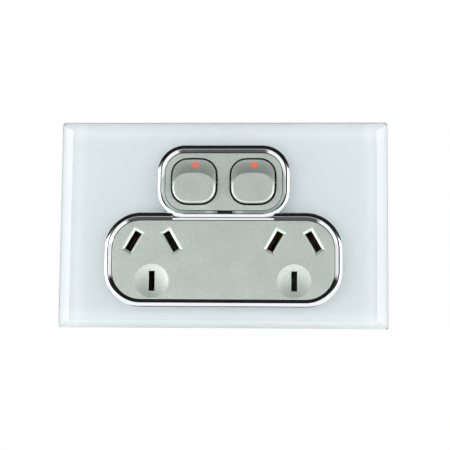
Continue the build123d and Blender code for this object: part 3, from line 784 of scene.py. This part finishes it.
def dress_nodes(nodes: tuple[str, ...], material: bpy.types.Material) -> None:
    """Give CAD nodes their material.

    Args:
        nodes: Names of the nodes.
        material: Material that they take.
    """
    for name in nodes:
        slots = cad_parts[name].data.materials
        slots.clear()
        slots.append(material)
        log.info("dressed %s in %s", name, material.name)


def arc(centre: Point, radius: float, start: float, end: float, steps: int = 16) -> list[Point]:
    """Points along a circular arc.

    Args:
        centre: Centre of the arc.
        radius: Its radius.
        start: First angle in degrees, anticlockwise from +X.
        end: Last angle in degrees.
        steps: Number of pieces.

    Returns:
        The points, both ends included.
    """
    angles = [math.radians(start + (end - start) * i / steps) for i in range(steps + 1)]
    return [(centre[0] + radius * math.cos(a), centre[1] + radius * math.sin(a)) for a in angles]


@dataclass
class Fascia:
    """Glass panel with fired paint on its back, on a white moulded tray. Sizes in millimetres.

    Attributes:
        half_width: Half the width of the glass.
        half_height: Half the height of the glass.
        back: Height of the glass's back above the wall.
        front: Height of the glass's front.
        paint_lift: How far inside the glass the paint's outer face is drawn.
        paint_thickness: Thickness of the paint.
        upper: Half width, lowest and highest edge and corner radius of the upper window.
        lower: The same for the lower window.
    """

    half_width: float
    half_height: float
    back: float
    front: float
    paint_lift: float = 0.03
    paint_thickness: float = 0.05
    upper: tuple[float, float, float, float] = (23.1, 2.9, 27.9, 9.15)
    lower: tuple[float, float, float, float] = (41.95, -29.15, 3.35, 12.45)

    @classmethod
    def from_frame(cls) -> Fascia:
        """Take the glass's own sizes from its solid.

        Returns:
            The fascia.
        """
        low, high = (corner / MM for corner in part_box("glass_fascia"))
        return cls(half_width=high.x, half_height=high.z, back=-high.y, front=-low.y)

    def window(self, grow: float) -> list[Point]:
        """Outline of the window for the trim, both parts joined, anticlockwise.

        Args:
            grow: How far outside the window's edge the outline runs.

        Returns:
            Points in X and Z.
        """
        half, low, high, radius = self.upper
        wide, bottom, top, bend = self.lower
        round_upper, round_lower = radius + grow, bend + grow
        start = math.degrees(math.asin((top + grow - low - radius) / round_upper))
        points = arc((half - radius, low + radius), round_upper, start, 0)
        points += arc((half - radius, high - radius), round_upper, 0, 90)
        points += arc((-half + radius, high - radius), round_upper, 90, 180)
        points += arc((-half + radius, low + radius), round_upper, 180, 180 - start)
        points += arc((-wide + bend, top - bend), round_lower, 90, 180)
        points += arc((-wide + bend, bottom + bend), round_lower, 180, 270)
        points += arc((wide - bend, bottom + bend), round_lower, 270, 360)
        points += arc((wide - bend, top - bend), round_lower, 0, 90)
        return points

    def border(self) -> list[Point]:
        """Outline of the paint, just inside the glass.

        Returns:
            Points in X and Z.
        """
        x = self.half_width - self.paint_lift
        z = self.half_height - self.paint_lift
        return [(-x, -z), (x, -z), (x, z), (-x, z)]

    def build_layer(
        self, name: str, outlines: tuple[list[Point], list[Point]], low: float, high: float
    ) -> bpy.types.Object:
        """Make a closed layer of paint between an outer and an inner outline.

        Args:
            name: Name of the piece.
            outlines: Outer and inner outline, points in X and Z.
            low: Height of its back face.
            high: Height of its front face.

        Returns:
            The new piece.
        """
        mesh = bmesh.new()
        edges = []
        for outline in outlines:
            ring = [mesh.verts.new((x * MM, -low * MM, z * MM)) for x, z in outline]
            edges += [mesh.edges.new((a, b)) for a, b in zip(ring, ring[1:] + ring[:1])]
        filled = bmesh.ops.triangle_fill(mesh, use_beauty=True, use_dissolve=False, edges=edges)
        faces = [f for f in filled["geom"] if isinstance(f, bmesh.types.BMFace)]
        raised = bmesh.ops.extrude_face_region(mesh, geom=faces)
        moved = [v for v in raised["geom"] if isinstance(v, bmesh.types.BMVert)]
        bmesh.ops.translate(mesh, verts=moved, vec=(0, (low - high) * MM, 0))
        bmesh.ops.recalc_face_normals(mesh, faces=mesh.faces[:])
        data = bpy.data.meshes.new(name)
        mesh.to_mesh(data)
        mesh.free()
        piece = bpy.data.objects.new(name, data)
        bpy.context.scene.collection.objects.link(piece)
        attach(piece, "outlet")
        log.info("built %s", piece.name)
        return piece

    def build_paint(self) -> None:
        """Paint the back of the glass and, as a lip, the ground edge of its window."""
        near = self.paint_lift
        far = self.paint_lift + self.paint_thickness
        low, inner, outer = self.back + near, self.window(near), self.window(far)
        paint = BackPaintFinish(self.half_width, self.half_height).material()
        for name, outlines, high in (
            ("glass_back_paint", (self.border(), outer), self.back + far),
            ("glass_lip_paint", (outer, inner), self.front - near),
        ):
            self.build_layer(name, outlines, low, high).data.materials.append(paint)

    def dress(self) -> None:
        """Dress the glass and the tray behind it."""
        dress_nodes(("glass_fascia",), GlassFinish().material())
        dress_nodes(("fascia_carrier",), WHITE_ABS.material())


@dataclass
class Front:
    """Chrome trim, silver moulding and the two rockers with their marks, as names of nodes.

    Attributes:
        trim: What is chromed.
        mouldings: What is painted silver.
        marks: What is red.
    """

    trim: tuple[str, ...] = ("chrome_trim",)
    mouldings: tuple[str, ...] = ("socket_front", "rocker_left", "rocker_right")
    marks: tuple[str, ...] = ("on_mark_left", "on_mark_right")

    def dress(self) -> None:
        """Dress everything that shows inside the trim."""
        dress_nodes(self.trim, CHROME.material())
        dress_nodes(self.mouldings, SILVER_PAINT.material())
        dress_nodes(self.marks, RED_ABS.material())


@dataclass
class Mechanism:
    """What sits behind the fascia and in the wall, as names of nodes.

    Attributes:
        mouldings: White plate and housing.
        brass: Contacts, strips, levers and terminals.
        steel: Screws and springs.
        silver: Contact tips.
        nylon: Plungers in the rockers.
    """

    mouldings: tuple[str, ...] = ("mounting_plate", "rear_housing")
    brass: tuple[str, ...] = (
        "active_contact_left",
        "active_contact_right",
        "active_feed_strip",
        "neutral_strip",
        "earth_strip",
        "contact_lever_left",
        "contact_lever_right",
        "terminal_active",
        "terminal_neutral",
        "terminal_earth",
        "terminal_loop",
    )
    steel: tuple[str, ...] = (
        "terminal_screws",
        "housing_screws",
        "plunger_spring_left",
        "plunger_spring_right",
    )
    silver: tuple[str, ...] = ("fixed_contact_tips", "moving_tip_left", "moving_tip_right")
    nylon: tuple[str, ...] = ("plunger_left", "plunger_right")

    def dress(self) -> None:
        """Dress every node of the mechanism."""
        dress_nodes(self.mouldings, WHITE_PC.material())
        dress_nodes(self.brass, BRASS.material())
        dress_nodes(self.steel, ZINC.material())
        dress_nodes(self.silver, CONTACT_SILVER.material())
        dress_nodes(self.nylon, NYLON.material())


@dataclass(frozen=True)
class Softbox:
    """One rectangular lamp aimed at the outlet.

    Attributes:
        name: Name of the lamp.
        place: Where it hangs, in metres.
        width: Width in metres.
        height: Height in metres.
        brightness: How bright its face is, where 1 is white.
    """

    name: str
    place: tuple[float, float, float]
    width: float
    height: float
    brightness: float

    def hang(self) -> None:
        """Add the lamp, which the camera doesn't see directly."""
        lamp = bpy.data.lights.new(self.name, "AREA")
        lamp.shape = "RECTANGLE"
        lamp.size = self.width
        lamp.size_y = self.height
        # A matt face of this brightness gives pi times its area
        lamp.energy = self.brightness * math.pi * self.width * self.height
        holder = bpy.data.objects.new(self.name, lamp)
        bpy.context.scene.collection.objects.link(holder)
        holder.location = self.place
        holder.rotation_euler = (-Vector(self.place)).to_track_quat("-Z", "Y").to_euler()
        holder.visible_camera = False
        log.info("hung %s", self.name)


@dataclass(frozen=True)
class RoomTone:
    """How bright the room is in each direction, where 1 is white.

    Attributes:
        front: Straight in front of the outlet.
        side: Left and right.
        back: Behind the wall plane.
        below: Towards the floor.
        above: Towards the ceiling.
    """

    front: float
    side: float
    back: float
    below: float
    above: float


@dataclass
class Studio:
    """White sweep, side softboxes, dark ceiling and the camera of the photograph's view.

    Attributes:
        floor_z: Height of the floor in metres.
        floor_size: Side of the floor in metres.
        floor_glow: What lifts the floor to near white for the camera alone.
        floor_colours: The two tones of the card, sRGB hex.
        floor_mm: Size of the card's cloudy patches.
        shade: How far from the point under the outlet the painted shade in the floor's mirrored
            glow starts to fade and ends, in metres.
        shade_level: Share of the mirrored floor's brightness that is left in the painted shade.
        light: What the room gives to surfaces.
        mirrored: What polished surfaces show of the room.
        side_span: Where the room turns from front to side, along X either way, as a direction.
        back_span: Where it turns to the back, along Y.
        below_span: Where it turns to the floor, along Z.
        above_span: Where it turns to the ceiling, along Z.
        distance: Camera distance from the middle of the wall plane, in metres.
        azimuth: Camera angle to the right of straight on, in degrees.
        elevation: Camera angle above level, in degrees.
        roll: Camera roll in degrees.
        lens: Focal length in millimetres.
        sensor: Width of the sensor in millimetres.
        clip: Nearest and farthest distance that the camera shows, in metres.
        shift: Offset of the picture's middle, as a share of its width.
        lamps: The softboxes.
    """

    floor_z: float = -0.26
    floor_size: float = 6.0
    floor_glow: float = 0.75
    floor_colours: tuple[str, str] = ("#f7f8f8", "#f3f4f4")
    floor_mm: float = 60.0
    shade: Span = (0.11, 0.16)
    shade_level: float = 0.1
    light: RoomTone = RoomTone(front=1.1, side=1.1, back=0.9, below=1.1, above=0.1)
    mirrored: RoomTone = RoomTone(front=0.05, side=1.2, back=1.0, below=1.5, above=0.02)
    side_span: Span = (0.36, 0.46)
    back_span: Span = (-0.1, 0.2)
    below_span: Span = (-0.16, -0.34)
    above_span: Span = (0.18, 0.4)
    distance: float = 0.48
    azimuth: float = 2.91
    elevation: float = -7.0
    roll: float = 0.52
    lens: float = 104.86
    sensor: float = 36.0
    clip: Span = (0.01, 50.0)
    shift: Point = (0.00104, 0.0051)
    lamps: tuple[Softbox, ...] = field(
        default_factory=lambda: (
            Softbox("softbox_left", (-0.66, -0.54, -0.1), 0.6, 0.75, 2.55),
            Softbox("softbox_right", (0.66, -0.54, -0.1), 0.6, 0.75, 2.15),
        )
    )

    def lay_floor(self) -> None:
        """Lay the plain pale floor."""
        side = self.floor_size / 2
        square = [(-side, -side), (side, -side), (side, side), (-side, side)]
        mesh = bmesh.new()
        mesh.faces.new([mesh.verts.new((x, y, self.floor_z)) for x, y in square])
        data = bpy.data.meshes.new("floor")
        mesh.to_mesh(data)
        mesh.free()
        data.materials.append(self.card())
        floor = bpy.data.objects.new("floor", data)
        bpy.context.scene.collection.objects.link(floor)
        log.info("laid %s", floor.name)

    def card(self) -> bpy.types.Material:
        """Build the floor's material, a card to the camera that lights the outlet from below.

        Returns:
            The new material.
        """
        # Matt white card: dull and even, with the faintest clouding
        made, tree = start_material("matt_white_card")
        place = add_node(tree, "ShaderNodeTexCoord").outputs["Object"]
        fibre = add_node(
            tree, "ShaderNodeTexNoise", {"Vector": place, "Scale": per_mm(self.floor_mm)}
        )
        light, dark = (linear(code) for code in self.floor_colours)
        tint = add_node(
            tree,
            "ShaderNodeMix",
            {FACTOR: fibre.outputs["Fac"], COLOUR_A: light, COLOUR_B: dark},
            data_type="RGBA",
        ).outputs[MIXED_COLOUR]
        matt = add_node(tree, "ShaderNodeBsdfDiffuse", {"Color": tint})
        rays = add_node(tree, "ShaderNodeLightPath")
        # Painted shade: what polished surfaces see of the floor dims in a pool right under the
        # outlet
        middle = (0.0, 0.0, self.floor_z)
        away = add_node(tree, "ShaderNodeVectorMath", {0: place, 1: middle}, operation="DISTANCE")
        polished = add_node(
            tree,
            "ShaderNodeMapRange",
            {
                "Value": away.outputs["Value"],
                "From Min": self.shade[0],
                "From Max": self.shade[1],
                "To Min": self.shade_level * self.mirrored.below,
                "To Max": self.mirrored.below,
            },
            interpolation_type="SMOOTHSTEP",
        )
        level = add_node(
            tree,
            "ShaderNodeMix",
            {
                FACTOR: rays.outputs["Is Glossy Ray"],
                VALUE_A: self.light.below,
                VALUE_B: polished.outputs["Result"],
            },
        ).outputs[MIXED_VALUE]
        glow = add_node(tree, "ShaderNodeEmission", {"Color": tint, "Strength": level})
        pale = add_node(tree, "ShaderNodeEmission", {"Color": tint, "Strength": self.floor_glow})
        shown = add_node(
            tree, "ShaderNodeAddShader", {0: matt.outputs["BSDF"], 1: pale.outputs["Emission"]}
        )
        surface = add_node(
            tree,
            "ShaderNodeMixShader",
            {
                0: rays.outputs["Is Camera Ray"],
                1: glow.outputs["Emission"],
                2: shown.outputs["Shader"],
            },
        )
        add_node(tree, "ShaderNodeOutputMaterial", {"Surface": surface.outputs["Shader"]})
        return made

    def light_room(self) -> None:
        """Set the room's tones by direction; the camera and the glass see plain white."""
        world = bpy.data.worlds.new("studio")
        bpy.context.scene.world = world
        world.use_nodes = True
        tree = world.node_tree
        tree.nodes.clear()
        towards = add_node(tree, "ShaderNodeTexCoord").outputs["Generated"]
        axes = add_node(tree, "ShaderNodeSeparateXYZ", {0: towards})
        across = add_node(tree, "ShaderNodeMath", {0: axes.outputs["X"]}, operation="ABSOLUTE")
        masks = []
        for value, (low, high) in (
            (across.outputs[0], self.side_span),
            (axes.outputs["Y"], self.back_span),
            (axes.outputs["Z"], self.below_span),
            (axes.outputs["Z"], self.above_span),
        ):
            mask = add_node(
                tree,
                "ShaderNodeMapRange",
                {"Value": value, "From Min": low, "From Max": high},
                interpolation_type="SMOOTHSTEP",
            )
            masks.append(mask.outputs["Result"])
        rays = add_node(tree, "ShaderNodeLightPath")
        shades = []
        for tone in (self.light, self.mirrored):
            level: Any = tone.front
            for mask, target in zip(masks, (tone.side, tone.back, tone.below, tone.above)):
                level = add_node(
                    tree, "ShaderNodeMix", {FACTOR: mask, VALUE_A: level, VALUE_B: target}
                ).outputs[MIXED_VALUE]
            shade = add_node(tree, "ShaderNodeBackground", {"Color": WHITE, "Strength": level})
            shades.append(shade.outputs["Background"])
        lit = add_node(
            tree,
            "ShaderNodeMixShader",
            {0: rays.outputs["Is Glossy Ray"], 1: shades[0], 2: shades[1]},
        )
        white = add_node(tree, "ShaderNodeBackground", {"Color": WHITE, "Strength": 1.0})
        seen = add_node(
            tree,
            "ShaderNodeMath",
            {0: rays.outputs["Is Camera Ray"], 1: rays.outputs["Is Transmission Ray"]},
            operation="MAXIMUM",
        )
        shown = add_node(
            tree,
            "ShaderNodeMixShader",
            {0: seen.outputs[0], 1: lit.outputs["Shader"], 2: white.outputs["Background"]},
        )
        add_node(tree, "ShaderNodeOutputWorld", {"Surface": shown.outputs["Shader"]})

    def place_camera(self) -> None:
        """Set the camera where the photograph was taken from."""
        turn, lift = math.radians(self.azimuth), math.radians(self.elevation)
        back = Vector(
            (
                math.sin(turn) * math.cos(lift),
                -math.cos(turn) * math.cos(lift),
                math.sin(lift),
            )
        )
        right = (-back).cross(Vector((0, 0, 1))).normalized()
        up = right.cross(-back)
        roll = math.radians(self.roll)
        across = math.cos(roll) * right + math.sin(roll) * up
        upright = math.cos(roll) * up - math.sin(roll) * right
        lens = bpy.data.cameras.new("camera")
        lens.lens = self.lens
        lens.sensor_width = self.sensor
        lens.shift_x, lens.shift_y = self.shift
        lens.clip_start, lens.clip_end = self.clip
        camera = bpy.data.objects.new("camera", lens)
        bpy.context.scene.collection.objects.link(camera)
        turned = Matrix((across, upright, back)).transposed().to_4x4()
        camera.matrix_world = Matrix.Translation(back * self.distance) @ turned
        bpy.context.scene.camera = camera

    def build(self) -> None:
        """Put up the floor, the lamps, the room and the camera."""
        bpy.context.scene.view_settings.view_transform = "Standard"
        self.lay_floor()
        self.light_room()
        for lamp in self.lamps:
            lamp.hang()
        self.place_camera()


def main() -> None:
    """Build every sub-assembly around the frame."""
    logging.basicConfig(level=logging.INFO)
    fascia = Fascia.from_frame()
    fascia.build_paint()
    fascia.dress()
    Front().dress()
    Mechanism().dress()
    Studio().build()


if __name__ == "__main__":
    main()
